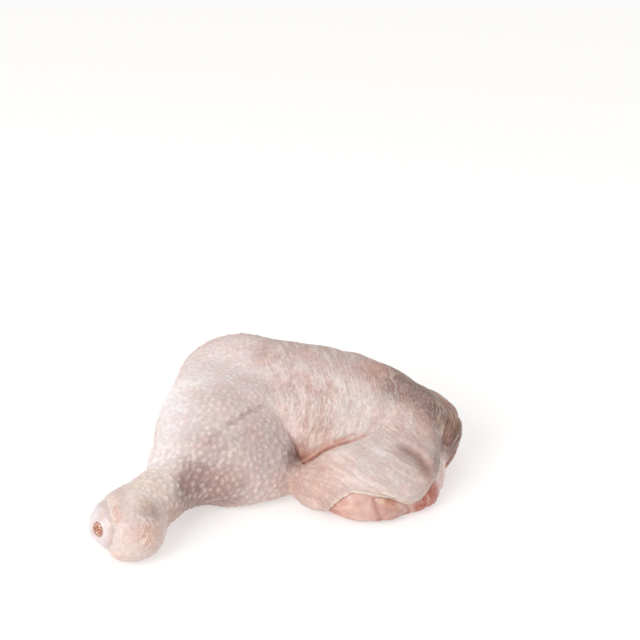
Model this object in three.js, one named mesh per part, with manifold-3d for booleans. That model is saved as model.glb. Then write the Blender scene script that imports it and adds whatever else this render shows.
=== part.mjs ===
// A raw chicken leg quarter, thigh and drumstick in one, lying on its cut side with the skin up.
// Millimetres, +Z up. The drumstick points to -X -Y, the thigh's hip end to +X, the knee to +Y.
// The origin is the centre of the footprint, on the surface that the meat rests on.
import * as THREE from "three";
import { mergeVertices } from "three/addons/utils/BufferGeometryUtils.js";
import Module from "manifold-3d";

// Driving dimensions
const SKIN = 2.2; // skin with its fat, between its outer face and the meat
const GAP = 0.3; // clearance between touching pieces
const REST_ROUNDING = 3; // how softly the sides turn under where the meat lies on the surface
const ANKLE = [-61.5, -49.3, 14.5];
const ANKLE_FACING = [-0.88, -0.46, 0.1]; // the way that the bare end of the bone looks
const KNEE = [-20, 60, 21];
const HIP = [66, 14, 18];
const SLEEVE_END = 7.9; // from the ankle to the edge of the skin round the bare bone end

// The hem is a tilted plane, level towards the front and upright at the hip. Near the knee it drops away.
const HEM = { height: 17, slopeX: 0.016, slopeY: 0.487, levelBefore: -14, hip: 75.5 };
const HEM_DROP = { depth: 70, whole: -15, none: 34 };
const HEM_WAVES = { long: 1.2, short: 0.8, hip: 1, sleeve: 0.5 };
// At the front it hangs down in one wide scallop, lowest this far along.
const SCALLOP = { height: 3.4, from: 43, lowest: 59, frontOf: -12, goneBy: 5 };

// How widely the masses run into each other. The fold is between calf and thigh, the crease above the lobe.
const MUSCLE_BLEND = 16;
const SHANK_BLEND = 8;
const FOLD_BLEND = 6;
const CREASE_BLEND = { deep: 3, faded: 14, fadesFrom: 30, fadesTo: 55 };

// The bared meat comes out to its full width this far past the hem, in low lumps. Under the sleeve it narrows
// to a tendon. The ranges are distances past the ankle.
const SWELL = 5;
const LUMPS = 0.7;
const COVERED = { from: -30, to: -20 };
const TENDON = { narrows: 6, from: -8, to: 6 };

// Sizes of the faces on each piece
const CELL = { skin: 3.95, meat: 5.3, bare: 5, cartilage: 2.6 };

const degrees = THREE.MathUtils.degToRad;
const { lerp, smoothstep } = THREE.MathUtils;

// Each solid is a field: a function of a point that is its rough distance in millimetres outside the surface.
function ellipsoid(centre, radii, heading = 0, pitch = 0, roll = 0) {
  const turn = new THREE.Matrix4()
    .makeRotationFromEuler(new THREE.Euler(degrees(roll), degrees(-pitch), degrees(heading), "ZYX"))
    .setPosition(...centre)
    .invert();
  const local = new THREE.Vector3();
  const [rx, ry, rz] = radii;
  return (x, y, z) => {
    local.set(x, y, z).applyMatrix4(turn);
    const share = Math.hypot(local.x / rx, local.y / ry, local.z / rz);
    const slope = Math.hypot(local.x / rx ** 2, local.y / ry ** 2, local.z / rz ** 2);
    return slope < 1e-9 ? -Math.min(rx, ry, rz) : (share * (share - 1)) / slope;
  };
}

function tapered(from, to, fromRadius, toRadius) {
  const axis = to.map((v, i) => v - from[i]);
  const squared = axis.reduce((sum, v) => sum + v * v, 0);
  return (x, y, z) => {
    const away = [x - from[0], y - from[1], z - from[2]];
    const along = axis.reduce((sum, v, i) => sum + v * away[i], 0) / squared;
    const t = THREE.MathUtils.clamp(along, 0, 1);
    const distance = Math.hypot(...away.map((v, i) => v - axis[i] * t));
    return distance - lerp(fromRadius, toRadius, t);
  };
}

function smoothMin(a, b, width) {
  const near = Math.max(width - Math.abs(a - b), 0) / width;
  return Math.min(a, b) - (near * near * width) / 4;
}

function blend(width, ...fields) {
  return (x, y, z) => fields.map((f) => f(x, y, z)).reduce((a, b) => smoothMin(a, b, width));
}

const headingOf = (a, b) => THREE.MathUtils.radToDeg(Math.atan2(b[1] - a[1], b[0] - a[0]));
const shinHeading = headingOf(ANKLE, KNEE);
const thighHeading = headingOf(KNEE, HIP);
const knee = ellipsoid(KNEE, [24, 24, 22], shinHeading);

// The drumstick: the shin on the far side, a heavy calf towards the thigh, and a shank down to the ankle.
const calf = blend(
  MUSCLE_BLEND,
  knee,
  ellipsoid([-37, 26, 20], [42, 15, 21], 84),
  ellipsoid([-20, 14, 20], [38, 24, 23], 66),
  ellipsoid([-6, -2, 13], [27, 17, 15], 30),
);
const heelPad = ellipsoid([-56.3, -51.5, 10], [12, 12.3, 11]);
const shank = blend(SHANK_BLEND, tapered(ANKLE, [-41, -19, 14.5], 13, 11), heelPad);
const drumstick = blend(SHANK_BLEND, calf, shank);

// The thigh: a broad upper mass with a thick far edge, narrow at the hip, and a small roll over the crease.
const thigh = blend(
  MUSCLE_BLEND,
  knee,
  ellipsoid([27, 34, 17], [48, 31, 27], thighHeading),
  ellipsoid([12, 47, 21], [44, 23, 23], thighHeading),
  ellipsoid([61.5, 20, 16.5], [21, 22.5, 19], thighHeading),
  ellipsoid([19, 8, 22], [20, 13, 13], thighHeading),
);

// The back of the thigh sags forward in a lobe of its own, with a crease above it that fades towards the hip.
const lobe = ellipsoid([40.5, -10, 10], [34, 19.5, 19.5], 2);

function muscle(x, y, z) {
  const upper = smoothMin(drumstick(x, y, z), thigh(x, y, z), FOLD_BLEND);
  const { deep, faded, fadesFrom, fadesTo } = CREASE_BLEND;
  return smoothMin(upper, lobe(x, y, z), lerp(deep, faded, smoothstep(x, fadesFrom, fadesTo)));
}

// Everything rests on one flat face at the height given.
function onFloor(field, height) {
  return (x, y, z) => -smoothMin(-field(x, y, z), z - height(x, y), REST_ROUNDING);
}

// How far a point lies past the ankle, along the way that the bone end looks.
const pastAnkle = (...p) => p.reduce((sum, v, n) => sum + (v - ANKLE[n]) * ANKLE_FACING[n], 0);

// The skin ends at the hem, a wavy cut. At the ankle it ends as an open sleeve round the bone.
function hemHeight(x, y) {
  const plane = HEM.height + HEM.slopeX * x + HEM.slopeY * Math.max(y, HEM.levelBefore);
  const turn = (Math.PI * Math.max(x - SCALLOP.from, 0)) / (SCALLOP.lowest - SCALLOP.from);
  const scallop = SCALLOP.height * Math.cos(turn);
  const wave = HEM_WAVES.long * Math.sin(x / 6.5 + 1);
  const edge = lerp(scallop, wave, smoothstep(y, SCALLOP.frontOf, SCALLOP.goneBy));
  const ripple = HEM_WAVES.short * Math.sin(x / 3.1 + y / 9);
  return plane + edge + ripple - HEM_DROP.depth * (1 - smoothstep(x, HEM_DROP.whole, HEM_DROP.none));
}
function skinLeft(x, y, z) {
  const hip = HEM.hip - x + HEM_WAVES.hip * Math.sin(y / 5 + z / 7);
  const sleeve = SLEEVE_END - pastAnkle(x, y, z) + HEM_WAVES.sleeve * Math.sin(y / 2.3 + z / 3);
  return Math.min(smoothMin(z - hemHeight(x, y), hip, SWELL), sleeve);
}

// The meat fills the skin. Past the hem it swells to the full width of the leg, a little uneven where cut.
function flesh(x, y, z) {
  const past = pastAnkle(x, y, z);
  const bared = smoothstep(-skinLeft(x, y, z), 0, SWELL) * (1 - smoothstep(past, COVERED.from, COVERED.to));
  const lumps = LUMPS * (Math.sin(x / 6 + z / 5) * Math.sin(y / 7) + 0.6);
  const tendon = TENDON.narrows * smoothstep(past, TENDON.from, TENDON.to);
  return muscle(x, y, z) + SKIN - (SKIN + lumps) * bared + tendon;
}
const fleshFloor = (x, y) => SKIN * (1 - smoothstep(hemHeight(x, y), 0, SWELL));

const outside = onFloor(muscle, () => 0);
const inside = onFloor(flesh, fleshFloor);

// The cartilage cap of the shin bone: a blunt knuckle set in the end of the sleeve.
const capHeading = headingOf([0, 0], ANKLE_FACING);
const knuckle = ellipsoid([-64.4, -49.1, 13.5], [11, 10.6, 10.4], capHeading);

// Turns a field into a closed mesh: one vertex in each cell that the surface crosses, drawn onto the surface.
const STEPS = [
  [1, 0, 0],
  [0, 1, 0],
  [0, 0, 1],
];
function polygonise(field, low, high, cell) {
  const count = low.map((v, i) => Math.ceil((high[i] - v) / cell) + 1);
  const at = (i, j, k) => (k * count[1] + j) * count[0] + i;
  const values = new Float64Array(count[0] * count[1] * count[2]);
  const each = (visit) => {
    for (let k = 0; k < count[2]; k++) {
      for (let j = 0; j < count[1]; j++) {
        for (let i = 0; i < count[0]; i++) visit(i, j, k);
      }
    }
  };
  each((i, j, k) => {
    values[at(i, j, k)] = field(low[0] + i * cell, low[1] + j * cell, low[2] + k * cell);
  });

  const vertexOf = new Map();
  const points = [];
  each((i, j, k) => {
    if (i + 1 >= count[0] || j + 1 >= count[1] || k + 1 >= count[2]) return;
    const sum = [0, 0, 0];
    let crossings = 0;
    for (let corner = 0; corner < 8; corner++) {
      const a = [corner & 1, (corner >> 1) & 1, corner >> 2];
      const va = values[at(i + a[0], j + a[1], k + a[2])];
      STEPS.forEach((step, axis) => {
        if (a[axis]) return;
        const vb = values[at(i + a[0] + step[0], j + a[1] + step[1], k + a[2] + step[2])];
        if (va < 0 === vb < 0) return;
        const t = va / (va - vb);
        [i, j, k].forEach((v, n) => (sum[n] += v + a[n] + step[n] * t));
        crossings++;
      });
    }
    if (!crossings) return;
    vertexOf.set(at(i, j, k), points.length);
    points.push(sum.map((v, n) => low[n] + (v / crossings) * cell));
  });

  const quads = [];
  each((i, j, k) => {
    const here = values[at(i, j, k)] < 0;
    STEPS.forEach((step, axis) => {
      const next = [i + step[0], j + step[1], k + step[2]];
      if (next.some((v, n) => v >= count[n])) return;
      if (here === values[at(...next)] < 0) return;
      const u = STEPS[(axis + 1) % 3];
      const v = STEPS[(axis + 2) % 3];
      const ring = [[0, 0], [1, 0], [1, 1], [0, 1]].map(([a, b]) =>
        vertexOf.get(at(i - a * u[0] - b * v[0], j - a * u[1] - b * v[1], k - a * u[2] - b * v[2])),
      );
      quads.push(here ? ring : ring.reverse());
    });
  });
  relax(points, quads, (p) => field(...p));
  return meshOf(points, quads);
}

// Evens out the faces: each vertex moves to the middle of its neighbours and back onto the surface.
const RELAX_ROUNDS = 6;
const PROBE = 0.05;
function relax(points, quads, field) {
  const neighbours = points.map(() => new Set());
  quads.forEach((ring) =>
    ring.forEach((v, n) => {
      neighbours[v].add(ring[(n + 1) % 4]);
      neighbours[v].add(ring[(n + 3) % 4]);
    }),
  );
  for (let round = 0; round < RELAX_ROUNDS; round++) {
    const moved = points.map((p, n) => {
      const around = [...neighbours[n]];
      return p.map((v, axis) => around.reduce((sum, o) => sum + points[o][axis], 0) / around.length);
    });
    moved.forEach((p, n) => {
      for (let pull = 0; pull < 3; pull++) {
        const value = field(p);
        const slope = STEPS.map((s) => (field(p.map((v, a) => v + s[a] * PROBE)) - value) / PROBE);
        const squared = slope.reduce((sum, v) => sum + v * v, 0);
        if (squared > 1e-6) p = p.map((v, a) => v - (slope[a] * value) / squared);
      }
      points[n] = p;
    });
  }
}

// Splits each quad along its shorter diagonal.
function meshOf(points, quads) {
  const span = (a, b) => Math.hypot(...points[a].map((v, n) => v - points[b][n]));
  return indexed(
    points,
    quads.flatMap(([a, b, c, d]) => (span(a, c) < span(b, d) ? [a, b, c, a, c, d] : [a, b, d, b, c, d])),
  );
}

function indexed(points, index) {
  const geometry = new THREE.BufferGeometry();
  geometry.setAttribute("position", new THREE.Float32BufferAttribute(points.flat(), 3));
  geometry.setIndex(index);
  return geometry;
}

const wasm = await Module();
wasm.setup();

function solidOf(geometry) {
  const merged = mergeVertices(geometry, 1e-3);
  return new wasm.Manifold(
    new wasm.Mesh({
      numProp: 3,
      vertProperties: merged.attributes.position.array,
      triVerts: new Uint32Array(merged.index.array),
    }),
  );
}

function geometryOf(solid) {
  const { numProp, vertProperties, triVerts } = solid.getMesh();
  const points = [];
  for (let n = 0; n < vertProperties.length; n += numProp) points.push([...vertProperties.slice(n, n + 3)]);
  const faces = [];
  for (let n = 0; n < triVerts.length; n += 3) faces.push([...triVerts.slice(n, n + 3)]);
  const geometry = mergeVertices(indexed(points, withoutSlivers(points, faces).flat()), 1e-3);
  geometry.computeVertexNormals();
  return geometry;
}

// Takes out the slivers that a cut leaves: an edge that is too short closes up, and the long edge of a
// triangle that is too flat turns to join the two corners beside it.
const SHORTEST_EDGE = 0.15;
const LOWEST_TRIANGLE = 0.05;
const CLEARING_ROUNDS = 12;
function withoutSlivers(points, allFaces) {
  const span = (a, b) => Math.hypot(...points[a].map((v, n) => v - points[b][n]));
  const area = (face) => new THREE.Triangle(...face.map((v) => new THREE.Vector3(...points[v]))).getArea();
  const height = (face) => (2 * area(face)) / Math.max(...face.map((v, k) => span(v, face[(k + 1) % 3])));
  let faces = allFaces;
  for (let round = 0; round < CLEARING_ROUNDS; round++) {
    const faceOn = new Map();
    const around = points.map(() => new Set());
    faces.forEach((face, n) =>
      face.forEach((a, k) => {
        const b = face[(k + 1) % 3];
        faceOn.set(`${a} ${b}`, n);
        around[a].add(b);
      }),
    );
    const busy = new Set();
    const replaced = new Map();
    const claim = (corners) => {
      const free = !corners.some((v) => busy.has(v));
      if (free) corners.forEach((v) => busy.add(v));
      return free;
    };
    faces.slice().forEach((face, n) => {
      const sides = face.map((v, k) => [v, face[(k + 1) % 3], face[(k + 2) % 3]]);
      sides.sort((p, q) => span(p[0], p[1]) - span(q[0], q[1]));
      const [from, to] = sides[0];
      const [start, end, tip] = sides[2];
      if (span(from, to) < SHORTEST_EDGE) {
        const shared = [...around[from]].filter((v) => around[to].has(v));
        if (shared.length === 2 && claim([...around[from], ...around[to]])) replaced.set(to, from);
      } else if (height(face) < LOWEST_TRIANGLE) {
        const beside = faceOn.get(`${end} ${start}`);
        const far = faces[beside].find((v) => v !== start && v !== end);
        const turned = [
          [start, far, tip],
          [far, end, tip],
        ];
        if (around[tip].has(far) || Math.min(...turned.map(height)) <= height(face)) return;
        if (claim([start, end, tip, far])) [faces[n], faces[beside]] = turned;
      }
    });
    faces = faces
      .map((face) => face.map((v) => replaced.get(v) ?? v))
      .filter(([a, b, c]) => a !== b && b !== c && c !== a);
  }
  return faces;
}

// A copy whose surface stands out by a clearance all round.
function grown(geometry, distance) {
  const copy = geometry.clone();
  copy.computeVertexNormals();
  const { position, normal } = copy.attributes;
  for (let n = 0; n < position.array.length; n++) position.array[n] += normal.array[n] * distance;
  copy.deleteAttribute("normal");
  return copy;
}

const LOW = [-90, -85, -8];
const HIGH = [100, 100, 75];
const MARGIN = 4;
const sides = (p) => p.flatMap((v, n) => [LOW[n] + MARGIN - v, v - HIGH[n] + MARGIN]);
const bareField = (x, y, z) => Math.max(skinLeft(x, y, z), ...sides([x, y, z]));

const body = solidOf(polygonise(outside, LOW, HIGH, CELL.skin));
const bare = solidOf(polygonise(bareField, LOW, HIGH, CELL.bare));
const meatShape = polygonise(inside, LOW, HIGH, CELL.meat);
const capShape = polygonise(knuckle, LOW, HIGH, CELL.cartilage);
const meatRoom = solidOf(grown(meatShape, GAP));
const capRoom = solidOf(grown(capShape, GAP));

const leg = new THREE.Group();
function add(name, solid, colour, roughness) {
  const material = new THREE.MeshStandardMaterial({ color: colour, roughness, metalness: 0 });
  const mesh = new THREE.Mesh(geometryOf(solid), material);
  mesh.name = name;
  leg.add(mesh);
}
add("meat", solidOf(meatShape).subtract(capRoom), 0xc98f84, 0.45);
add("skin", body.subtract(meatRoom).subtract(capRoom).subtract(bare), 0xe3cfc8, 0.5);
add("cartilage", solidOf(capShape), 0xf0e6e3, 0.4);

const footprint = new THREE.Box3().setFromObject(leg).getCenter(new THREE.Vector3());
leg.position.set(-footprint.x, -footprint.y, 0);

export default leg;
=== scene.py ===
import math

import bpy
import numpy as np
from mathutils import Matrix, Vector, kdtree, noise
from mathutils.bvhtree import BVHTree


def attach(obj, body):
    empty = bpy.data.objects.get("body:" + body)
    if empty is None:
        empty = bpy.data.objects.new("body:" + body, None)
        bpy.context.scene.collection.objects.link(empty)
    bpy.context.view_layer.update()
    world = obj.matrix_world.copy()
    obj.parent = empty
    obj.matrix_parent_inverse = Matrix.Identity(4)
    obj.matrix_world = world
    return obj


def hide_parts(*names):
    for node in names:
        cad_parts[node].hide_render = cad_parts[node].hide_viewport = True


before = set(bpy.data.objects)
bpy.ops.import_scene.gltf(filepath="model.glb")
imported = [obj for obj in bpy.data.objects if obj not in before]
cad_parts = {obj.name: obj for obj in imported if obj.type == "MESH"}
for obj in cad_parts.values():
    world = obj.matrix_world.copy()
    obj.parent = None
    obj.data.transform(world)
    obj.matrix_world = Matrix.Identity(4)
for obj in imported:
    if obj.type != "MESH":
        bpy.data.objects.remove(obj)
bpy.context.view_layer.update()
MM = 0.001


# Camera, table and light
# An 80 mm lens looks down at the leg by 25 degrees, from 0.65 m away in front. The table is white acrylic lit
# from below, which keeps shadows pale. A large lamp is at the front left and a weak one at the right.
def deselect():
    bpy.ops.object.select_all(action="DESELECT")


def linear(hex_colour):
    parts = [int(hex_colour[k : k + 2], 16) / 255 for k in (1, 3, 5)]
    return [p / 12.92 if p <= 0.04045 else ((p + 0.055) / 1.055) ** 2.4 for p in parts] + [1.0]


# Sockets are given by name, or by number where two sockets of a node share a name.
def add(tree, kind, inputs=None, **settings):
    made = tree.nodes.new(kind)
    for name, value in settings.items():
        setattr(made, name, value)
    for socket, value in (inputs or {}).items():
        if isinstance(value, bpy.types.NodeSocket):
            tree.links.new(value, made.inputs[socket])
        else:
            made.inputs[socket].default_value = value
    return made


def new_material(name):
    material = bpy.data.materials.new(name)
    material.use_nodes = True
    material.node_tree.nodes.clear()
    return material


# The material gets its surface, and the piece gets that material alone.
def cover(piece, material, surface):
    shader = add(material.node_tree, "ShaderNodeBsdfPrincipled", surface)
    add(material.node_tree, "ShaderNodeOutputMaterial", {"Surface": shader.outputs["BSDF"]})
    piece.data.materials.clear()
    piece.data.materials.append(material)


CAMERA_PLACE = (15.6, -556.1, 334.8)
CAMERA_DOWN = 24.78
LENS = 80
bpy.ops.object.camera_add(
    location=[v * MM for v in CAMERA_PLACE], rotation=(math.radians(90 - CAMERA_DOWN), 0, 0)
)
bpy.context.object.data.lens = LENS
bpy.context.scene.camera = bpy.context.object

# The table's side and each lamp's place and width are in metres, and a lamp's power is in watts.
TABLE_SIDE = 20
deselect()
bpy.ops.mesh.primitive_plane_add(size=TABLE_SIDE)
table = bpy.context.object
table.name = "table"
cover(
    table,
    new_material("lit_white_acrylic"),
    {
        "Base Color": linear("#bcbbba"),
        "Roughness": 0.6,
        "Emission Color": linear("#fffefd"),
        "Emission Strength": 0.48,
    },
)

LAMPS = {"key": ((-0.7, -0.9, 0.72), 0.9, 13), "fill": ((1.0, -0.5, 0.6), 1.0, 2)}
LEG_MIDDLE = Vector((0, 0, 20 * MM))
for name, (place, width, power) in LAMPS.items():
    bpy.ops.object.light_add(type="AREA", location=place)
    lamp = bpy.context.object
    lamp.name = name
    lamp.data.shape = "DISK"
    lamp.data.size = width
    lamp.data.energy = power
    lamp.rotation_euler = (LEG_MIDDLE - Vector(place)).to_track_quat("-Z", "Y").to_euler()

SKY_STRENGTH = 0.8
world = bpy.data.worlds.new("studio")
world.use_nodes = True
sky = world.node_tree.nodes["Background"]
sky.inputs["Color"].default_value = linear("#ffffff")
sky.inputs["Strength"].default_value = SKY_STRENGTH
bpy.context.scene.world = world
bpy.context.scene.view_settings.view_transform = "Standard"

# The meat
# Raw muscle in one mass, bare where the skin was cut away: under the front of the thigh, round its back, at
# the hip and below. It is wet, with fibres, pale films between the muscles and bits of yellowish fat.
MERGE_WITHIN = 0.01
QUAD_ANGLE = math.radians(60)


def copy_of(node_name, name):
    deselect()
    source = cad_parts[node_name]
    source.select_set(True)
    bpy.context.view_layer.objects.active = source
    bpy.ops.object.duplicate()
    piece = bpy.context.object
    piece.name = name
    piece.data.name = name
    bpy.ops.object.mode_set(mode="EDIT")
    bpy.ops.mesh.select_all(action="SELECT")
    bpy.ops.mesh.remove_doubles(threshold=MERGE_WITHIN * MM)
    bpy.ops.mesh.tris_convert_to_quads(face_threshold=QUAD_ANGLE, shape_threshold=QUAD_ANGLE)
    bpy.ops.object.mode_set(mode="OBJECT")
    return piece


def applied(piece, kind, **settings):
    made = piece.modifiers.new(kind.lower(), kind)
    for name, value in settings.items():
        setattr(made, name, value)
    bpy.ops.object.modifier_apply(modifier=made.name)


# The faceted copy is rounded, and where it needs an even fine mesh it is remeshed and smoothed as well.
SMOOTHING = {"iterations": 4, "factor": 0.5}


def rounded(piece, levels, voxel=None):
    applied(piece, "SUBSURF", levels=levels, render_levels=levels)
    if voxel:
        applied(piece, "REMESH", mode="VOXEL", voxel_size=voxel * MM)
        applied(piece, "SMOOTH", **SMOOTHING)
    bpy.ops.object.shade_smooth()


# Faces that lie against the next layer are never seen, and only the share given of them is kept.
def thinned(piece, unseen, kept):
    group = piece.vertex_groups.new(name="unseen")
    group.add(np.flatnonzero(unseen).tolist(), 1.0, "REPLACE")
    ratio = float(1 - unseen.mean() * (1 - kept))
    applied(piece, "DECIMATE", ratio=ratio, vertex_group=group.name)
    piece.vertex_groups.clear()


# Points are worked on as rows of millimetres.
def rows_of(piece, what):
    flat = np.empty(len(piece.data.vertices) * 3)
    piece.data.vertices.foreach_get(what, flat)
    return flat.reshape(-1, 3)


def points_of(piece):
    return rows_of(piece, "co") / MM


def normals_of(piece):
    return rows_of(piece, "normal")


def move_points(piece, points):
    piece.data.vertices.foreach_set("co", (points * MM).ravel())
    piece.data.update()


def paint(piece, name, values):
    if values.ndim == 1:
        piece.data.attributes.new(name, "FLOAT", "POINT").data.foreach_set("value", values)
    else:
        rgba = np.column_stack([values, np.ones(len(values))])
        piece.data.attributes.new(name, "FLOAT_COLOR", "POINT").data.foreach_set("color", rgba.ravel())


def ramp(values, start, end):
    t = np.clip((values - start) / (end - start), 0, 1)
    return t * t * (3 - 2 * t)


def bell(values, width):
    return np.exp(-((values / width) ** 2))


def mixed(start, end, share):
    return start + (end - start) * share


def away_from(points, place):
    return np.linalg.norm(points - place, axis=1)


def unit(vector):
    return np.array(vector) / np.linalg.norm(vector)


# Smooth noise from about -1 to 1, with lumps of the size given along x, y and z. A number added to the points
# takes them to another part of the noise.
NOISE_GAIN = 1.6


def ripples(points, *size):
    return np.array([noise.noise(p) for p in (points / np.array(size)).tolist()]) * NOISE_GAIN


# How far each point is from the named solids, and the nearest place on them.
def nearest_on(points, *node_names):
    gap = np.full(len(points), np.inf)
    place = np.zeros_like(points)
    for node_name in node_names:
        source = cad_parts[node_name].data
        solid = BVHTree.FromPolygons([v.co for v in source.vertices], [p.vertices for p in source.polygons])
        found = np.array([solid.find_nearest(Vector(p))[0] for p in (points * MM).tolist()]) / MM
        distance = away_from(points, found)
        closer = distance < gap
        gap[closer] = distance[closer]
        place[closer] = found[closer]
    return gap, place


# Where each point is beside a line through the places given: its distance, how far along the line it is, from
# 0 to 1, and which way it lies from the line.
def beside(points, line):
    line = np.array(line, float)
    steps = np.diff(line, axis=0)
    lengths = np.linalg.norm(steps, axis=1)
    starts = np.concatenate([[0], np.cumsum(lengths)])
    nearest = np.full(len(points), np.inf)
    along = np.zeros(len(points))
    offset = np.zeros_like(points)
    for start, step, length, passed in zip(line, steps, lengths, starts):
        t = np.clip((points - start) @ step / length**2, 0, 1)
        reached = start + t[:, None] * step
        distance = away_from(points, reached)
        closer = distance < nearest
        nearest[closer] = distance[closer]
        along[closer] = (passed + t * length)[closer] / starts[-1]
        offset[closer] = (points - reached)[closer]
    return nearest, along, offset


# Colours laid on at named places: each one fades out over its reach and gives way to its neighbours,
# and to the base colour where none of them reaches.
BASE_SHARE = 0.02


def stained(points, base, zones):
    total = np.full(len(points), BASE_SHARE)
    colour = total[:, None] * np.array(linear(base)[:3])
    for shade, place, reach in zones.values():
        share = bell(away_from(points, place), reach)
        total += share
        colour += share[:, None] * np.array(linear(shade)[:3])
    return colour / total[:, None]


# The folds that the skin and the meat under it are drawn into, in millimetres: a line on the surface, the way
# in, the depth at its start, middle and end, the width below and above the line, the way that is up from it,
# and the height of the roll of skin above it.
FOLDS = {
    "groove": {
        "line": [
            (-10.2, 4.7, 39.3),
            (-4.3, -1.3, 35),
            (0.3, -8.3, 31.3),
            (5.8, -14, 27),
            (9.6, -20.4, 20.7),
        ],
        "inward": (-0.59, 0.24, -0.77),
        "depth": (0, 0.8, 3),
        "width": (2.2, 2.2),
        "over": (0.75, 0.5, 0.4),
        "roll": 0.5,
    },
    "crease": {
        "line": [
            (9.3, -23.3, 21.2),
            (13, -23.6, 23.6),
            (17.4, -21.6, 26.1),
            (22.6, -20.2, 27.9),
            (26.4, -19.8, 28.6),
            (30.4, -18.2, 29.3),
            (34.5, -16.3, 30),
            (38.3, -13.5, 31),
        ],
        "inward": (-0.1, 0.45, -0.85),
        "depth": (2.9, 2.0, 0.5),
        "width": (1.0, 1.0),
        "over": (-0.1, 0.6, 0.8),
        "roll": 1.2,
    },
    "shoulder": {
        "line": [
            (45, -20, 29.7),
            (51.4, -21.2, 28.4),
            (55.3, -21.9, 26.8),
            (59.2, -23.2, 24.5),
            (62.3, -25.4, 21),
        ],
        "inward": (-0.3, 0.3, -0.9),
        "depth": (0, 2.4, 1.6),
        "width": (4.5, 1.5),
        "over": (0.6, 0.4, 0.7),
        "roll": 0.6,
    },
}
# The roll over a fold, in widths of its upper side: how high its middle is, how wide it is, and how far from
# the line it reaches. A fold changes from its lower to its upper width over FOLD_TURN.
ROLL_UP = 2
ROLL_WIDE = 1.3
ROLL_REACH = 3.5
FOLD_TURN = (-1, 1)

# Where both layers swell out or sink in a little: the place, how far the change reaches, and the push.
SWELLS = {
    "far edge of the thigh": ((42, 32, 44), 11, (0, 0, 1.6)),
    "over the hip": ((49, 25, 43), 9, (0, 0, 2.3)),
    "hip": ((77, 3, 25), 9, (2.0, 0, 0.4)),
    "front lump": ((47.5, -37, 6), 8, (0.3, -1.6, 0)),
    "below the hip": ((76, -2, 10), 7, (-3.0, 0, 0)),
    "right of the red strip": ((68, -25, 11), 5, (-1.0, 0.6, 0)),
    "outside of the shank": ((-55, -25, 23.5), 8, (-3.2, 0, 0.4)),
}


def shaped(points):
    moved = points.copy()
    for fold in FOLDS.values():
        distance, along, offset = beside(points, fold["line"])
        depth = np.interp(along, (0, 0.5, 1), fold["depth"])
        height = offset @ np.array(fold["over"])
        below, above = fold["width"]
        width = mixed(below, above, ramp(height, *FOLD_TURN))
        roll = bell(height - ROLL_UP * above, ROLL_WIDE * above) * bell(distance, ROLL_REACH * above)
        inward = depth * bell(distance, width) - fold["roll"] * np.minimum(depth, 1) * roll
        moved += inward[:, None] * np.array(fold["inward"])
    for place, reach, push in SWELLS.values():
        moved += bell(away_from(points, place), reach)[:, None] * np.array(push)
    return moved


MEAT_VOXEL = 0.9
MEAT_COVERED = 0.8
MEAT_KEPT = 0.05
meat = copy_of("meat", "meat_flesh")
rounded(meat, levels=1, voxel=MEAT_VOXEL)
to_skin, _ = nearest_on(points_of(meat), "skin")
thinned(meat, to_skin < MEAT_COVERED, MEAT_KEPT)
at = points_of(meat)
bare, _ = nearest_on(at, "skin")
at = shaped(at)
move_points(meat, at)

# The muscles run from the knee to the hip in bundles about a centimetre thick, made of fibres. Their relief
# grows from the skin's edge on and ends above the table.
MUSCLE_WAY = unit((0.9, -0.44, 0))
MUSCLE_SIDE = unit((0.44, 0.9, 0))
MUSCLE_WANDER = 1.5
BUNDLE = (45, 11, 9)
BUNDLE_HEIGHT = 1.2
SEAM_WIDE = 0.1
SEAM_DEPTH = 0.9
FIBRE = (14, 1.2, 1.2)
FIBRE_HEIGHT = 0.18
LUMP = (7, 7, 7)
LUMP_HEIGHT = 0.4
PAST_SKIN = (1, 9)
OVER_TABLE = (0.3, 3)
rows = np.column_stack([at @ MUSCLE_WAY, at @ MUSCLE_SIDE, at[:, 2]])
rows += MUSCLE_WANDER * ripples(at + 15, 20, 20, 20)[:, None]
bundles = ripples(rows + 60, *BUNDLE)
fibres = ripples(rows, *FIBRE)
seam = bell(bundles, SEAM_WIDE)
raised = BUNDLE_HEIGHT * np.abs(bundles) - SEAM_DEPTH * seam + FIBRE_HEIGHT * fibres
raised += LUMP_HEIGHT * ripples(at + 40, *LUMP)
raised *= ramp(bare, *PAST_SKIN) * ramp(at[:, 2], *OVER_TABLE)
# Furrows set off the round end of a muscle below the front hem, on its left and on its right: a line and its
# width.
FURROWS = (
    (((38.3, -38.2, 12.4), (39.3, -40, 8.6), (41.5, -39.3, 3.6), (45, -38, 0.5)), 1.1),
    (((48.8, -37.5, 9.7), (52.2, -36.3, 6.8), (54, -34.9, 5), (53, -34.3, 2)), 0.7),
)
FURROW_DEPTH = 0.8
furrow = sum(bell(beside(at, line)[0], width) for line, width in FURROWS)
raised -= FURROW_DEPTH * furrow
at = at + raised[:, None] * normals_of(meat)
at[:, 2] = np.maximum(at[:, 2], 0)
move_points(meat, at)

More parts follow.
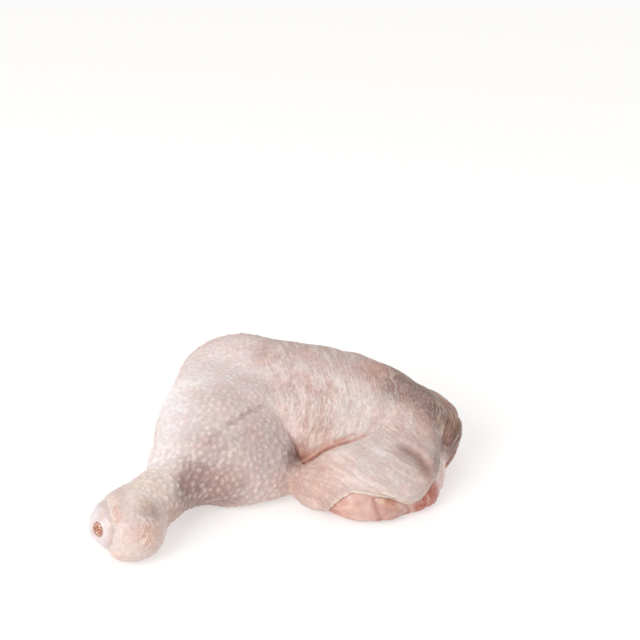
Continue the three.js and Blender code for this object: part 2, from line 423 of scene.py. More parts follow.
# Each zone of colour has its shade, its place and its reach. Fat lies in soft lumps at its own places.
MEAT_BASE = "#b0746a"
HIP_END = (75, 2, 21)
MEAT_ZONES = {
    "front lump": ("#a06f55", (47, -38, 6), 6),
    "left of the lump": ("#c6a294", (32, -41, 7), 7),
    "under the front hem": ("#d4ad93", (54, -36, 10), 2.5),
    "red strip": ("#964a38", (63, -32, 11), 5.5),
    "membrane band": ("#dccfc9", (72, -15, 13), 7.5),
    "hip end": ("#3e2b1e", HIP_END, 7),
    "foot of the hip end": ("#3a2417", (72, -6, 18), 4.5),
    "below the hip end": ("#6e4e3c", (75, 3, 13), 5),
    "far edge": ("#b0766a", (60, 35, 20), 18),
    "behind": ("#a9665c", (30, 60, 18), 22),
    "underside": ("#b5776c", (30, 10, 0), 30),
}
FAT_PLACES = {
    "under the front hem": ((42, -39.5, 11), 2.5),
    "behind the hip": ((66, 20, 31), 6),
    "behind the thigh": ((40, 44, 33), 6),
}
FAT_LUMP = (3, 3, 3)
FAT_LUMPINESS = 0.5
FAT_STARTS = (0.35, 0.85)
FAT_PAST_SKIN = (0.2, 1)
FILM = (16, 12, 12)
FILM_STARTS = (0.0, 0.7)
fat = sum(bell(away_from(at, place), reach) for place, reach in FAT_PLACES.values())
fat = ramp(fat + FAT_LUMPINESS * ripples(at + 10, *FAT_LUMP), *FAT_STARTS) * ramp(bare, *FAT_PAST_SKIN)
film = ramp(ripples(at + 60, *FILM), *FILM_STARTS)

# The top of the hip is covered by a tan membrane. Fine strands in it run along the skin's cut edge and on
# down over the brown muscle at the hip's end. No film lies there or on the red strip.
HIP_TOP_X = (54, 64)
HIP_TOP_Y = (24, 38)
HIP_TOP_Z = (22, 27)
HIP_END_REACH = 8
RED_STRIP = (63, -31.5, 11)
RED_STRIP_REACH = 9
MEMBRANE = "#846753"
MEMBRANE_SHARE = 0.85
STRAND_WANDER = 0.4
STRANDS_FADE_Y = (14, 30)
over_hip = ramp(at[:, 2], *HIP_TOP_Z) * ramp(at[:, 0], *HIP_TOP_X) * (1 - ramp(at[:, 1], *HIP_TOP_Y))
at_hip_end = bell(away_from(at, HIP_END), HIP_END_REACH)
at_red_strip = bell(away_from(at, RED_STRIP), RED_STRIP_REACH)
tone = stained(at, MEAT_BASE, MEAT_ZONES)
paint(meat, "tone", mixed(tone, np.array(linear(MEMBRANE)[:3]), MEMBRANE_SHARE * over_hip[:, None]))
paint(meat, "fibre", fibres * (1 - over_hip))
paint(meat, "seam", seam * (1 - over_hip) * (1 - 0.7 * at_hip_end))
paint(meat, "furrow", furrow)
paint(meat, "fat", fat * (1 - over_hip))
paint(meat, "film", film * (1 - over_hip) * (1 - at_hip_end) * (1 - at_red_strip))
paint(meat, "strand_across", bare + STRAND_WANDER * ripples(at + 70, 9, 9, 9))
strand_share = np.maximum(over_hip, 0.8 * at_hip_end) * (1 - 0.6 * ramp(at[:, 1], *STRANDS_FADE_Y))
paint(meat, "strand_share", strand_share)


# Fine lines across a painted distance, from -1 to 1, as strong as the painted share: their width and length
# in millimetres, their detail, and how soft they are.
def fine_lines(tree, coords, name, wide, long, detail, softness):
    across = add(tree, "ShaderNodeAttribute", attribute_name=name + "_across").outputs["Fac"]
    share = add(tree, "ShaderNodeAttribute", attribute_name=name + "_share").outputs["Fac"]
    across = add(tree, "ShaderNodeMath", {0: across, 1: 1 / wide}, operation="MULTIPLY").outputs[0]
    across = add(tree, "ShaderNodeCombineXYZ", {"X": across}).outputs[0]
    stretch = [1 / (long * MM)] * 3
    lines = add(tree, "ShaderNodeVectorMath", {0: coords, 1: stretch, 2: across}, operation="MULTIPLY_ADD")
    lines = add(tree, "ShaderNodeTexNoise", {"Vector": lines.outputs[0], "Scale": 1.0, "Detail": detail})
    limits = {1: 0.5 - softness, 2: 0.5 + softness, 3: -1.0, 4: 1.0}
    lines = add(tree, "ShaderNodeMapRange", {0: lines.outputs["Fac"], **limits}).outputs[0]
    return add(tree, "ShaderNodeMath", {0: lines, 1: share}, operation="MULTIPLY").outputs[0]


# Layers of colour, each over the ones before it: its pattern, or the name of a painted one, the values where
# it starts and where it is full, its greatest share, and its shade.
def layered(tree, colour, layers):
    for pattern, start, full, share, shade in layers:
        if isinstance(pattern, str):
            pattern = add(tree, "ShaderNodeAttribute", attribute_name=pattern).outputs["Fac"]
        amount = add(tree, "ShaderNodeMapRange", {0: pattern, 1: start, 2: full, 3: 0.0, 4: share})
        layer = {0: amount.outputs[0], 6: colour, 7: linear(shade)}
        colour = add(tree, "ShaderNodeMix", layer, data_type="RGBA").outputs[2]
    return colour


flesh = new_material("raw_muscle")
# Raw poultry muscle, wet and slightly see-through: fibres a millimetre wide, a pearly film, pale seams, fat.
MEAT_BLOT = 5
MEAT_GRAIN = 1.0
MEAT_GRAIN_HEIGHT = 0.12
STRAND_WIDE = 0.6
STRAND_LONG = 8
tree = flesh.node_tree
coords = add(tree, "ShaderNodeTexCoord").outputs["Object"]
blots = add(tree, "ShaderNodeTexNoise", {"Vector": coords, "Scale": 1 / (MEAT_BLOT * MM), "Detail": 4.0})
grain = add(tree, "ShaderNodeTexNoise", {"Vector": coords, "Scale": 1 / (MEAT_GRAIN * MM), "Detail": 4.0})
strands = fine_lines(tree, coords, "strand", STRAND_WIDE, STRAND_LONG, detail=1.0, softness=0.15)
MEAT_LAYERS = (
    (blots.outputs["Fac"], 0.42, 0.72, 0.45, "#8f4a42"),
    ("fibre", 0.0, 0.9, 0.3, "#d9a898"),
    ("fibre", 0.0, -0.9, 0.3, "#93504a"),
    ("film", 0.0, 1.0, 0.35, "#cdb4b2"),
    ("seam", 0.2, 1.0, 0.45, "#d8bcae"),
    ("furrow", 0.0, 1.0, 0.6, "#8a4a3a"),
    (grain.outputs["Fac"], 0.55, 0.75, 0.2, "#e6c3b2"),
    ("fat", 0.0, 1.0, 0.45, "#dbc6a8"),
    (strands, 0.0, 1.0, 0.45, "#c8a58c"),
    (strands, 0.0, -1.0, 0.45, "#604233"),
)
tone = add(tree, "ShaderNodeAttribute", attribute_name="tone").outputs["Color"]
relief = {"Height": grain.outputs["Fac"], "Distance": MEAT_GRAIN_HEIGHT * MM, "Strength": 0.8}
cover(
    meat,
    flesh,
    {
        "Base Color": layered(tree, tone, MEAT_LAYERS),
        "Roughness": 0.33,
        "IOR": 1.4,
        "Subsurface Weight": 0.3,
        "Subsurface Radius": (1.0, 0.35, 0.2),
        "Subsurface Scale": 1.5 * MM,
        "Coat Weight": 0.25,
        "Coat Roughness": 0.15,
        "Normal": add(tree, "ShaderNodeBump", relief).outputs["Normal"],
    },
)
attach(meat, "root")
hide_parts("meat")

# The skin
# Raw skin with its fat, two millimetres thick, drawn over the meat. Raised feather follicles cover the
# drumstick and knee, and fine wrinkles the thigh. It thins out to a cut edge at the thigh and the ankle.
SKIN_VOXEL = 0.64
SKIN_KEPT = 0.04
INNER_FACE = 0.7
skin = copy_of("skin", "skin_whole")
rounded(skin, levels=2, voxel=SKIN_VOXEL)
gap, _ = nearest_on(points_of(skin), "meat", "cartilage")
thinned(skin, gap < INNER_FACE, SKIN_KEPT)

at = points_of(skin)
gap, under = nearest_on(at, "meat", "cartilage")
outward = (at - under) / gap[:, None]
upright = (normals_of(skin) * outward).sum(axis=1)


def search_among(points, chosen):
    search = kdtree.KDTree(len(chosen))
    for n in chosen:
        search.insert(points[n], n)
    search.balance()
    return search


# The cut edge: the skin thins out towards it, and at the ankle it is drawn in until it meets the cap. Its
# relief is faint there, and ends above the table.
EDGE_TOP = 1.6
EDGE_UPRIGHT = 0.6
ANKLE_X = -50
ANKLE_Y = -40
HEM_LIP = 0.9
SLEEVE_LIP = 0.0
LEAST_LIP = 0.3
LIP_REACH = 5
EDGE_RELIEF = 0.3
OUTER_FACE = (1.2, 2.0)
SKIN_OVER_TABLE = (0.2, 2)
edge = np.flatnonzero((gap > INNER_FACE) & (gap < EDGE_TOP) & (np.abs(upright) < EDGE_UPRIGHT))
edge_search = search_among(at, edge)
from_edge = np.array([edge_search.find(p)[2] for p in at.tolist()])
at_ankle = (at[:, 0] < ANKLE_X) & (at[:, 1] < ANKLE_Y)
lip = np.where(at_ankle, SLEEVE_LIP, HEM_LIP)
whole = ramp(from_edge, 0, LIP_REACH)
drawn = np.where(gap > np.maximum(lip, LEAST_LIP), mixed(lip, gap, whole), gap)
flat = under + drawn[:, None] * outward
at = shaped(flat)
move_points(skin, at)
facing = normals_of(skin)
outer = ramp(gap, *OUTER_FACE) * ramp(at[:, 2], *SKIN_OVER_TABLE) * mixed(EDGE_RELIEF, 1, whole)

# Seen from above, the border between the drumstick's pebbled skin and the thigh has an x at each y, and the
# crease over the lobe has a y at each x. The knob of the ankle ends a little way up the shin.
BORDER = {"y": (-19, 5, 30, 75), "x": (8, -10, -14, -12)}
BORDER_FADE = (-5, 9)
CREASE_OVER = {"x": (8, 17, 30, 42, 60, 70), "y": (-22, -21, -17, -12, -18, -24)}
CREASE_FADE = (0, 5)
ANKLE = np.array((-65.7, -60.1, 14.5))
KNEE = np.array((-24.2, 49.2, 21))
KNOB_FADE = (4, 17)
thigh = ramp(at[:, 0] - np.interp(at[:, 1], BORDER["y"], BORDER["x"]), *BORDER_FADE)
lobe = thigh * ramp(np.interp(at[:, 0], CREASE_OVER["x"], CREASE_OVER["y"]) - at[:, 1], *CREASE_FADE)
up_shin = (at - ANKLE) @ unit(KNEE - ANKLE)
knob = 1 - ramp(up_shin, *KNOB_FADE)

# Follicles: soft bumps a few millimetres apart, each on a wider mound, drawn out down the slope and strongest
# on the calf and the shank.
rng = np.random.default_rng(7)
FOLLICLE_APART = {"calf": 2.6, "thigh": 2.7, "knob": 2.0}
FOLLICLE_HEIGHT = {"calf": 0.39, "thigh": 0.1, "lobe": 0.05, "knob": 0.14}
FOLLICLE_LONG = (0.85, 1.5)
FOLLICLE_WIDE = (0.65, 1.0)
FOLLICLE_VIGOUR = (0.4, 1.15)
FOLLICLE_LEAN = math.radians(35)
FOLLICLE_REACH = 2.2
MOUND_SPREAD = 3
MOUND_SHARE = 0.5
DOWN_SLOPE = (-0.4, -0.4, -0.82)
OUTSIDE = 0.2
apart = mixed(FOLLICLE_APART["calf"], FOLLICLE_APART["thigh"], thigh)
apart = mixed(apart, FOLLICLE_APART["knob"], knob)


# Points in random order, each kept where no point kept before lies within the spacing.
def spread_out(points, spacing):
    cells = {}
    kept = []
    keys = np.floor(points / spacing.max()).astype(int)
    near = [(i, j, k) for i in (-1, 0, 1) for j in (-1, 0, 1) for k in (-1, 0, 1)]
    for n in rng.permutation(len(points)):
        x, y, z = keys[n]
        others = [m for i, j, k in near for m in cells.get((x + i, y + j, z + k), ())]
        if others and np.min(away_from(points[others], points[n])) < spacing[n]:
            continue
        cells.setdefault((x, y, z), []).append(n)
        kept.append(n)
    return kept


outside = np.flatnonzero(outer > OUTSIDE)
seeds = outside[spread_out(at[outside], apart[outside])]
outside_search = search_among(at, outside)
follicle = np.zeros(len(at))
mound = np.zeros(len(at))
for seed in seeds:
    long = rng.uniform(*FOLLICLE_LONG)
    wide = rng.uniform(*FOLLICLE_WIDE)
    vigour = rng.uniform(*FOLLICLE_VIGOUR)
    lean = Matrix.Rotation(rng.uniform(-FOLLICLE_LEAN, FOLLICLE_LEAN), 3, Vector(facing[seed]))
    down = np.array(lean @ Vector(DOWN_SLOPE))
    side = unit(np.cross(facing[seed], down))
    down = np.cross(side, facing[seed])
    near = [found[1] for found in outside_search.find_range(at[seed], FOLLICLE_REACH * long)]
    offset = at[near] - at[seed]
    squared = (offset @ down / long) ** 2 + (offset @ side / wide) ** 2
    follicle[near] = np.maximum(follicle[near], vigour * np.exp(-squared))
    mound[near] = np.maximum(mound[near], vigour * np.exp(-squared / MOUND_SPREAD))
height = mixed(FOLLICLE_HEIGHT["calf"], FOLLICLE_HEIGHT["thigh"], thigh)
height = mixed(height, FOLLICLE_HEIGHT["lobe"], lobe)
height = mixed(height, FOLLICLE_HEIGHT["knob"], knob)

# Fine wrinkles follow how the skin is pulled. On the thigh they leave the crease nearly along it and sweep up
# and over; on the lobe they run sideways; at the hem and on the heel of the knob they go round. Each set is
# given by a distance across its lines and by its share of each place.
PULL_START = np.array((8.3, -22.6, 21))
PULL_WAY = unit((29.7, 9.1, 10))
SWEEP = 35
SWEEP_REACH = 16
SWEEP_FADE = (12, 60)
LOBE_ACROSS = np.array((0.33, 0.35, 0.88))
HEEL = (-58.5, -72, 17)
HEEL_START = (1.5, 3.5)
HEEL_END = (7.5, 11)
HEEL_X = (-59, -55.5)
HEM_REACH = (5, 15)
HEM_RISE_Z = (28, 36)
HEM_FADE = (0.3, 1)
HEM_X = (20, 45)
HEM_FADE_Y = (12, 30)
LOW_HIP_X = (58, 66)
THIGH_END_X = (52, 66)
MOST_WRINKLED = (12, 3, 40)
MOST_WRINKLED_REACH = 14
WRINKLE_WANDER = 0.8
HEM_WANDER = 0.5
beyond = at - PULL_START
along_crease = beyond @ PULL_WAY
sweep = SWEEP * (1 - 0.85 * ramp(along_crease, *SWEEP_FADE))
over_crease = np.linalg.norm(beyond - along_crease[:, None] * PULL_WAY, axis=1)
swept = along_crease - sweep * (1 - np.exp(-over_crease / SWEEP_REACH))
from_heel = away_from(at, HEEL)
waves = ripples(at + 70, 9, 9, 9)
wrinkle_across = {
    "thigh": swept + WRINKLE_WANDER * ripples(at + 30, 6, 6, 6),
    "lobe": at @ LOBE_ACROSS + WRINKLE_WANDER * waves,
    "hem": from_edge + HEM_WANDER * waves,
    "heel": from_heel + WRINKLE_WANDER * waves,
}
hem_reach = mixed(*HEM_REACH, ramp(at[:, 2], *HEM_RISE_Z))
low_hip = ramp(at[:, 0], *LOW_HIP_X) * (1 - ramp(at[:, 2], *HIP_TOP_Z))
at_hem = (1 - ramp(from_edge / hem_reach, *HEM_FADE)) * ramp(at[:, 0], *HEM_X) * (1 - at_ankle)
at_hem *= (1 - 0.6 * ramp(at[:, 1], *HEM_FADE_Y)) * (1 - 0.7 * low_hip)
on_heel = ramp(from_heel, *HEEL_START) * (1 - ramp(from_heel, *HEEL_END)) * ramp(at[:, 0], *HEEL_X)
most_wrinkled = 0.75 + 0.5 * bell(away_from(at, MOST_WRINKLED), MOST_WRINKLED_REACH)
thigh_alone = (1 - lobe) * (1 - at_hem) * (1 - ramp(at[:, 0], *THIGH_END_X))
wrinkle_share = {
    "thigh": most_wrinkled * thigh * thigh_alone,
    "lobe": lobe * (1 - 0.5 * at_hem),
    "hem": at_hem,
    "heel": on_heel,
}
WRINKLE_HEIGHT = {"thigh": 0.07, "lobe": 0.05, "hem": 0.12, "heel": 0.08}
WRINKLE = (1.3, 6, 6)
wrinkle = np.zeros(len(at))
for name, across in wrinkle_across.items():
    lines = ripples(np.column_stack([across, at[:, 1], at[:, 2]]), *WRINKLE)
    wrinkle += WRINKLE_HEIGHT[name] * wrinkle_share[name] * lines
    paint(skin, name + "_across", across)
    paint(skin, name + "_share", wrinkle_share[name])

# Two short folds next to the cap, and soft crooked lines that cross the calf, each with its share.
KNOB_FOLDS = (
    ((-69.7, -65.4, 25.5), (-68.1, -68.9, 23.9), (-67.1, -71.2, 21.6)),
    ((-67.5, -66.4, 25.7), (-66, -69.1, 24), (-65.5, -71.2, 22.1)),
)
KNOB_FOLD_WIDE = 1.0
KNOB_FOLD_WANDER = 0.3
KNOB_FOLD_DEPTH = 0.3
UPPER_CALF_LINE = (
    (-32.5, -28.5, 32.7),
    (-28, -24.2, 35.6),
    (-21.8, -17.8, 37.9),
    (-15.7, -11, 38.6),
    (-10.3, -2.9, 38.2),
)
LOWER_CALF_LINE = ((-29.4, -32.9, 26.9), (-26.1, -29.4, 30.8), (-22, -25.7, 33), (-14.5, -18.9, 34.6))
CALF_LINES = ((UPPER_CALF_LINE, 1), (LOWER_CALF_LINE, 0.5))
CALF_LINE_WIDE = 1.2
CALF_LINE_WANDER = 1.1
CALF_LINE_DEPTH = 0.5
wander = ripples(at + 12, 2.5, 2.5, 2.5)
knob_folds = np.zeros(len(at))
for line in KNOB_FOLDS:
    knob_folds += bell(beside(at, line)[0] + KNOB_FOLD_WANDER * wander, KNOB_FOLD_WIDE)
calf_lines = np.zeros(len(at))
for line, share in CALF_LINES:
    calf_lines += share * bell(beside(at, line)[0] + CALF_LINE_WANDER * wander, CALF_LINE_WIDE)

# Slow waves run under the follicles, with fine lumps between them on the drumstick and coarser ones on the
# knob.
WAVE_HEIGHT = 0.3
FINE_LUMP = (1.5, 1.5, 1.5)
FINE_LUMP_HEIGHT = 0.08
KNOB_LUMP = (2, 2, 2)
KNOB_LUMP_HEIGHT = 0.12
raised = height * (follicle + MOUND_SHARE * mound) + wrinkle + WAVE_HEIGHT * waves
fine_lumps = FINE_LUMP_HEIGHT * (1 - thigh) * ripples(at, *FINE_LUMP)
raised += fine_lumps + KNOB_LUMP_HEIGHT * knob * ripples(at, *KNOB_LUMP)
raised -= KNOB_FOLD_DEPTH * knob_folds + CALF_LINE_DEPTH * calf_lines
at = at + (raised * outer)[:, None] * facing
at[:, 2] = np.maximum(at[:, 2], 0)
move_points(skin, at)

SKIN_BASE = "#cdb8b0"
# Each zone of colour has its shade, its place and its reach. Those under the calf, on the shank side, in the
# pocket, at the groove's foot, at the saddle, below the shoulder, at the lobe's lower right and at the lowest
# hip edge are painted shade.
SKIN_ZONES = {
    "shin": ("#c0b6b2", (-38, -23, 37), 14),
    "calf": ("#c1aeab", (-22, -8, 39), 13),
    "middle of the calf": ("#ddcdcb", (-29, -14, 38), 7),
    # Partly the calf's own mauve, partly painted shade where it turns into the groove.
    "calf beside the groove": ("#ad9b99", (-8, -20, 30), 9),
    "painted shade under the calf": ("#8a6e63", (-33, -38, 17), 9),
    "painted shade on the shank side": ("#43291e", (-38, -38, 22), 6),
    "knee": ("#dccdcc", (-26, 22, 42), 16),
    "thigh": ("#b5a19f", (7, 14, 43), 16),
    "beside the groove": ("#c1aea3", (3, 3, 36), 7),
    "painted shade in the pocket": ("#3f261b", (6, -20, 21), 4),
    "painted shade at the groove foot": ("#70554a", (6, -17, 23), 4),
    "thigh middle": ("#c6bcb8", (27, -3, 35), 14),
    "thigh right": ("#aa9088", (54, -7, 33), 10),
    # The hip and its edge: partly brown skin over dark meat, partly painted shade where they turn away.
    "hip": ("#4a2719", (56, 12, 38), 12),
    "hip edge": ("#451d10", (66, 2, 33), 8),
    "far side": ("#9c837c", (25, 50, 40), 20),
    "lobe": ("#b8aaa7", (47, -31, 24), 14),
    "below the crease": ("#c5b1a8", (23, -27, 26), 4),
    "peach strokes": ("#b28c7d", (20, 2, 40), 6),
    "lobe right": ("#ad968f", (61, -17, 26), 7),
    "lobe left": ("#ab8b7e", (14, -29, 19), 9),
    # Partly pale skin, partly painted light on the lit left side.
    "knee left": ("#f2eeed", (-41, 10, 36), 9),
    "knob low": ("#cdc0b8", (-61, -75, 9), 4),
    "heel": ("#c2987f", (-54, -71, 15), 4.5),
    "shank low": ("#b29586", (-46, -52, 12), 4),
    "knob": ("#c8b6af", (-60, -68, 14), 14),
    "shank": ("#e2d3c6", (-54, -47, 26), 7),
    "bruise": ("#7d6762", (-53, -64, 22), 3.8),
    "painted shade at the saddle": ("#a3887f", (-7, 34, 44), 7),
    "top of the calf": ("#e2d2cf", (-9, 2, 38), 7),
    "above the groove": ("#8c776e", (4, 8, 40), 6),
    "above the crease": ("#8c624f", (15, -13, 32), 5.5),
    "front of the calf": ("#a18c89", (-32, -28, 33), 5),
    "inside of the shank": ("#f0e6de", (-50, -39, 26), 5),
    # This zone and the next: partly pale skin, partly painted light on the calf's lit left side.
    "outside of the calf": ("#edebef", (-46, -14, 38), 8),
    "low outside of the calf": ("#eae3e2", (-52, -27, 28), 7),
    "right end of the crease": ("#c5b6b0", (50, -6, 35), 5),
    "painted shade below the shoulder": ("#866a5e", (49, -28, 26), 4),
    "painted shade at the lobe's lower right": ("#8a695b", (55, -32, 21), 4),
    # Partly brownish skin, partly painted shade at the edge that turns away.
    "upper right of the thigh": ("#a0776a", (40, 17, 43), 6),
    "streak above the crease": ("#95735f", (13, -8, 36), 4.5),
    "beside the cap": ("#b3988c", (-66, -69, 24), 3),
    "top of the knob": ("#e3d5cc", (-59, -60, 26), 4),
    "front of the lobe": ("#b09f99", (43, -38, 18), 4),
    "low hip edge": ("#77564a", (68, -11, 23), 4),
    "painted shade at the lowest hip edge": ("#43281d", (68, -20, 18), 5),
    "right end of the lobe": ("#a07c6e", (60, -29, 20), 5),
    "yellow patch": ("#c5a786", (-56, -62, 24), 3),
}
paint(skin, "tone", stained(flat, SKIN_BASE, SKIN_ZONES))

# The follicles show as cream dots on a mauve ground, most of all in the shade under the calf, and little on
# the thigh, on the knob, beside the groove and in the calf's lines. The ground is painted darker towards
# the shade under the calf, as painted shade.
UNDER_CALF = (-32, -38, 18)
SHADE_REACH = 24
calf = (1 - thigh) * (1 - 0.6 * knob)
in_shade = bell(away_from(at, UNDER_CALF), SHADE_REACH)
groove_distance, groove_along, _ = beside(flat, FOLDS["groove"]["line"])
by_place = (0.6 + 0.8 * in_shade) * (0.3 + 0.7 * calf) * (1 - 0.6 * lobe)
by_place *= (1 + 0.3 * ripples(at + 21, 5, 5, 5)) * (1 - 0.8 * bell(groove_distance, 4))
by_place *= 1 - 0.7 * calf_lines
paint(skin, "follicle", follicle * by_place)
paint(skin, "mauve_ground_and_shade", calf * (0.35 + 0.65 * in_shade) * (1.25 - mound))
# The calf's lines are painted mauve, partly their own tint and partly painted shade in the creases.
paint(skin, "calf_line_tint_and_shade", np.clip(calf_lines * 0.8, 0, 1))

# The folds are painted red, partly their own flush and partly painted shade: a soft red above the crease,
# a dark painted shade in its core, a thin second fold just above its far part, the foot of the groove, and
# the folds beside the cap.
BLUSH_WIDE = 3.6
BLUSH_FADE = (0.3, 0.9)
BLUSH_UP = (-0.5, 1)
CORE_WIDE = 0.8
SECOND_FOLD = ((21.5, -18.4, 28), (26.5, -17.3, 29.4), (30, -15.8, 30.3))
SECOND_FOLD_WIDE = 0.6
GROOVE_BLUSH_WIDE = 2.5
crease_distance, crease_along, crease_offset = beside(flat, FOLDS["crease"]["line"])
above_crease = ramp(crease_offset @ np.array(FOLDS["crease"]["over"]), *BLUSH_UP)
fold_flush_and_shade = 0.5 * bell(crease_distance, BLUSH_WIDE) * above_crease * (1 - 0.85 * ramp(crease_along, *BLUSH_FADE))
crease_core = (1 - 0.3 * ramp(crease_along, 0.5, 0.8)) * (1 - ramp(crease_along, 0.85, 1))
fold_flush_and_shade += 0.66 * bell(crease_distance + 0.4 * wander, CORE_WIDE) * crease_core
fold_flush_and_shade += 0.4 * bell(beside(flat, SECOND_FOLD)[0] + 0.5 * wander, SECOND_FOLD_WIDE)
fold_flush_and_shade += 0.6 * bell(groove_distance, GROOVE_BLUSH_WIDE) * ramp(groove_along, 0.6, 1)
fold_flush_and_shade += 0.5 * knob_folds
paint(skin, "fold_flush_and_shade", np.clip(fold_flush_and_shade, 0, 1))

# The valley under the shoulder and the hollow where the groove, the crease and the lobe meet are painted
# brown, as painted shade.
VALLEY_WIDE = 5
VALLEY_UP = (0.2, 1.8)
VALLEY_START = (0, 0.45)
HOLLOW = (5.8, -19.8, 21.2)
HOLLOW_REACH = 3.6
shoulder_distance, shoulder_along, shoulder_offset = beside(flat, FOLDS["shoulder"]["line"])
under_shoulder = 1 - ramp(shoulder_offset @ np.array(FOLDS["shoulder"]["over"]), *VALLEY_UP)
valley_shade = bell(shoulder_distance, VALLEY_WIDE) * under_shoulder * ramp(shoulder_along, *VALLEY_START)
paint(skin, "valley_shade", valley_shade)
paint(skin, "hollow_shade", bell(away_from(flat, HOLLOW), HOLLOW_REACH))

# Fat shows cream in the cut edge, less of it at the ankle, high up and low on the hip.
CUT_REACH = 1.2
CUT_FADE_Z = (24, 30)
cut = (1 - ramp(from_edge, 0, CUT_REACH)) * (1 - 0.8 * at_ankle)
paint(skin, "cut", cut * (1 - 0.5 * ramp(at[:, 2], *CUT_FADE_Z)) * (1 - 0.7 * low_hip))

hide = new_material("raw_chicken_skin")
# Raw chicken skin, moist and slightly see-through, with pale fat in it: cream follicles over a mauve ground
# on the drumstick, peach with fine light and dark wrinkles on the thigh. Shade in the folds, the valley and
# the hollow, and on some zones of the tone, is painted into its colour.
SKIN_PATCH = 9
SKIN_SPECK = 1.8
SKIN_GRAIN = 0.6
SKIN_GRAIN_HEIGHT = 0.06
BROKEN_LENGTH = 3
tree = hide.node_tree
coords = add(tree, "ShaderNodeTexCoord").outputs["Object"]
patches = add(tree, "ShaderNodeTexNoise", {"Vector": coords, "Scale": 1 / (SKIN_PATCH * MM), "Detail": 3.0})
specks = add(tree, "ShaderNodeTexNoise", {"Vector": coords, "Scale": 1 / (SKIN_SPECK * MM), "Detail": 3.0})
grain = add(tree, "ShaderNodeTexNoise", {"Vector": coords, "Scale": 1 / (SKIN_GRAIN * MM), "Detail": 3.0})
layers = [
    (patches.outputs["Fac"], 0.42, 0.7, 0.3, "#cfa597"),
    (patches.outputs["Fac"], 0.45, 0.3, 0.25, "#cdbfc2"),
    (specks.outputs["Fac"], 0.5, 0.75, 0.25, "#efe1d6"),
    (specks.outputs["Fac"], 0.5, 0.3, 0.2, "#a98c86"),
    (grain.outputs["Fac"], 0.5, 0.75, 0.25, "#f3e8e0"),
    (grain.outputs["Fac"], 0.5, 0.25, 0.25, "#a98c86"),
    # The mauve ground between the follicles, with painted shade under the calf.
    ("mauve_ground_and_shade", 0.0, 1.0, 0.38, "#86696a"),
    ("follicle", 0.1, 0.9, 0.24, "#e6d6cd"),
]
# Broad streaks, and wrinkles finer than the mesh that are broken up: their width and length in millimetres,
# the light and the dark of their lines, and how strongly they show.
PAINTED_WRINKLES = (
    ("thigh", 4, 14, "#efe2da", "#b5877a", 0.27),
    ("lobe", 3.5, 12, "#efe2da", "#b5948c", 0.2),
    ("thigh", 0.95, 3.2, "#f0e2d8", "#a87c6f", 0.4),
    ("lobe", 0.9, 4, "#efe2dc", "#a98880", 0.16),
    ("hem", 0.5, 9, "#e6cdb0", "#7d5440", 0.5),
    ("heel", 0.55, 5, "#efd9ca", "#a86a50", 0.5),
)
BROAD = 2
PAINTED_HEIGHT = 0.1
broken = add(tree, "ShaderNodeTexNoise", {"Vector": coords, "Scale": 1 / (BROKEN_LENGTH * MM), "Detail": 2.0})
broken_range = {0: broken.outputs["Fac"], 1: 0.4, 2: 0.6, 3: 0.3, 4: 1.0}
broken = add(tree, "ShaderNodeMapRange", broken_range).outputs[0]
grain_height = {0: grain.outputs["Fac"], 1: SKIN_GRAIN_HEIGHT * MM}
relief = add(tree, "ShaderNodeMath", grain_height, operation="MULTIPLY").outputs[0]
for name, wide, long, light, dark, strength in PAINTED_WRINKLES:
    lines = fine_lines(tree, coords, name, wide, long, detail=0.5, softness=0.2)
    if wide < BROAD:
        lines = add(tree, "ShaderNodeMath", {0: lines, 1: broken}, operation="MULTIPLY").outputs[0]
    layers.append((lines, 0.0, 1.0, strength, light))
    layers.append((lines, 0.0, -1.0, strength, dark))
    line_height = {0: lines, 1: PAINTED_HEIGHT * MM, 2: relief}
    relief = add(tree, "ShaderNodeMath", line_height, operation="MULTIPLY_ADD").outputs[0]
layers += [
    # Painted shade darkens the calf's lines beside their mauve, the valley under the shoulder, the core of
    # the crease and the foot of the groove beside their flush, and the hollow.
    ("calf_line_tint_and_shade", 0.0, 1.0, 0.6, "#8f7577"),
    ("valley_shade", 0.0, 1.0, 0.65, "#805a4c"),
    ("fold_flush_and_shade", 0.0, 0.5, 0.6, "#b0705a"),
    ("fold_flush_and_shade", 0.5, 1.0, 0.8, "#66322a"),
    ("hollow_shade", 0.0, 1.0, 0.6, "#523a2d"),
    ("cut", 0.0, 1.0, 0.36, "#e3ceb0"),
]
tone = add(tree, "ShaderNodeAttribute", attribute_name="tone").outputs["Color"]
cover(
    skin,
    hide,
    {
        "Base Color": layered(tree, tone, layers),
        "Roughness": 0.45,
        "IOR": 1.4,
        "Subsurface Weight": 0.25,
        "Subsurface Radius": (1.0, 0.45, 0.3),
        "Subsurface Scale": 1.5 * MM,
        "Coat Weight": 0.12,
        "Coat Roughness": 0.3,
        "Normal": add(tree, "ShaderNodeBump", {"Height": relief, "Distance": 1.0}).outputs["Normal"],
    },
)
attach(skin, "root")
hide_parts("skin")

# The cartilage
# The white cap of the shin bone, bare and wet, set in the open end of the skin. A worn spot on it shows the
# spongy red-brown bone below.
cap = copy_of("cartilage", "cartilage_cap")
rounded(cap, levels=3)
at = points_of(cap)

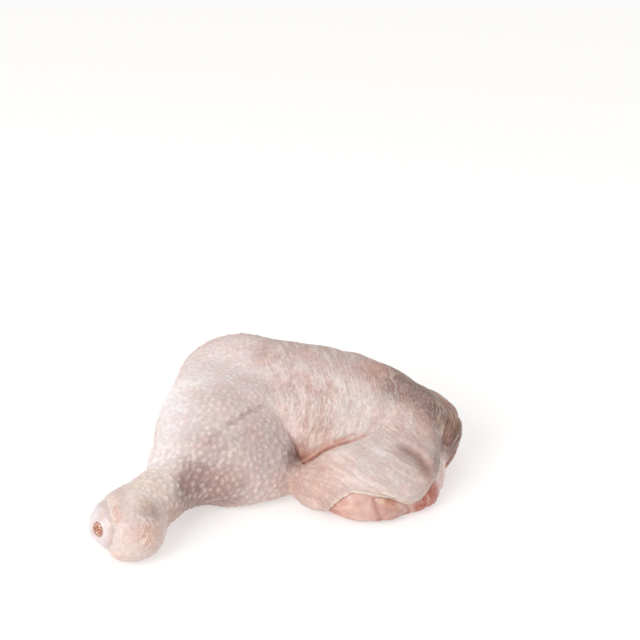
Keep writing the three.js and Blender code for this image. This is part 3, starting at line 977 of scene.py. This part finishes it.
# The spot is an oval in the face of the cap, pitted and darker round its edge. The rim beside the skin is
# raised.
SPOT = (-74.7, -68.3, 15.8)
SPOT_OUT = unit((-0.5, -0.83, 0.2))
SPOT_SLANT = np.array((0.35, -0.1, -0.93))
SPOT_LONG = 3.4
SPOT_WIDE = 2.8
SPOT_EDGE = (0.8, 1.1)
SPOT_EDGE_WANDER = 0.12
SPOT_DEPTH = 0.35
PIT = (0.45, 0.45, 0.45)
PIT_DEPTH = 0.2
RING_PLACE = 0.85
RING_WIDE = 0.14
RIM_REACH = 3
RIM_HEIGHT = 0.4
SWELLING_HEIGHT = 0.12
offset = at - SPOT
slant = unit(SPOT_SLANT - (SPOT_SLANT @ SPOT_OUT) * SPOT_OUT)
across = np.cross(SPOT_OUT, slant)
from_spot = np.hypot(offset @ slant / SPOT_LONG, offset @ across / SPOT_WIDE)
spot = 1 - ramp(from_spot + SPOT_EDGE_WANDER * ripples(at, 1, 1, 1), *SPOT_EDGE)
pits = ripples(at, *PIT)
from_skin, _ = nearest_on(at, "skin")
rim = 1 - ramp(from_skin, 0, RIM_REACH)
raised = SWELLING_HEIGHT * ripples(at, 6, 6, 6) + SWELLING_HEIGHT * ripples(at + 5, 2.5, 2.5, 2.5)
raised += RIM_HEIGHT * rim
raised -= spot * (SPOT_DEPTH - PIT_DEPTH * pits)
at = at + raised[:, None] * normals_of(cap)
move_points(cap, at)
paint(cap, "spot", spot)
paint(cap, "ring", bell(from_spot - RING_PLACE, RING_WIDE) * (0.6 + 0.8 * pits))
paint(cap, "rim", rim)

gristle = new_material("wet_cartilage")
# Hyaline cartilage: bluish white, glossy wet and see-through at its surface. The spot is spongy bone with
# marrow in it.
CLOUD = 5
SPONGE_CELL = 0.8
tree = gristle.node_tree
coords = add(tree, "ShaderNodeTexCoord").outputs["Object"]
clouds = add(tree, "ShaderNodeTexNoise", {"Vector": coords, "Scale": 1 / (CLOUD * MM), "Detail": 2.0})
sponge = add(tree, "ShaderNodeTexVoronoi", {"Vector": coords, "Scale": 1 / (SPONGE_CELL * MM)})
WHITE_LAYERS = (
    (clouds.outputs["Fac"], 0.4, 0.7, 1.0, "#c3b4af"),
    ("rim", 0.0, 1.0, 0.6, "#b9a29a"),
)
MARROW_LAYERS = (
    (sponge.outputs["Distance"], 0.25, 0.6, 1.0, "#99624d"),
    ("ring", 0.0, 1.0, 1.0, "#5f3a2c"),
)
white = layered(tree, linear("#cdc2c2"), WHITE_LAYERS)
marrow = layered(tree, linear("#e2c6b4"), MARROW_LAYERS)
in_spot = add(tree, "ShaderNodeAttribute", attribute_name="spot").outputs["Fac"]
colour = add(tree, "ShaderNodeMix", {0: in_spot, 6: white, 7: marrow}, data_type="RGBA").outputs[2]
cover(
    cap,
    gristle,
    {
        "Base Color": colour,
        "Roughness": 0.28,
        "IOR": 1.4,
        "Subsurface Weight": 0.4,
        "Subsurface Radius": (1.0, 0.6, 0.45),
        "Subsurface Scale": 2.0 * MM,
        "Coat Weight": 0.3,
        "Coat Roughness": 0.1,
    },
)
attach(cap, "root")
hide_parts("cartilage")
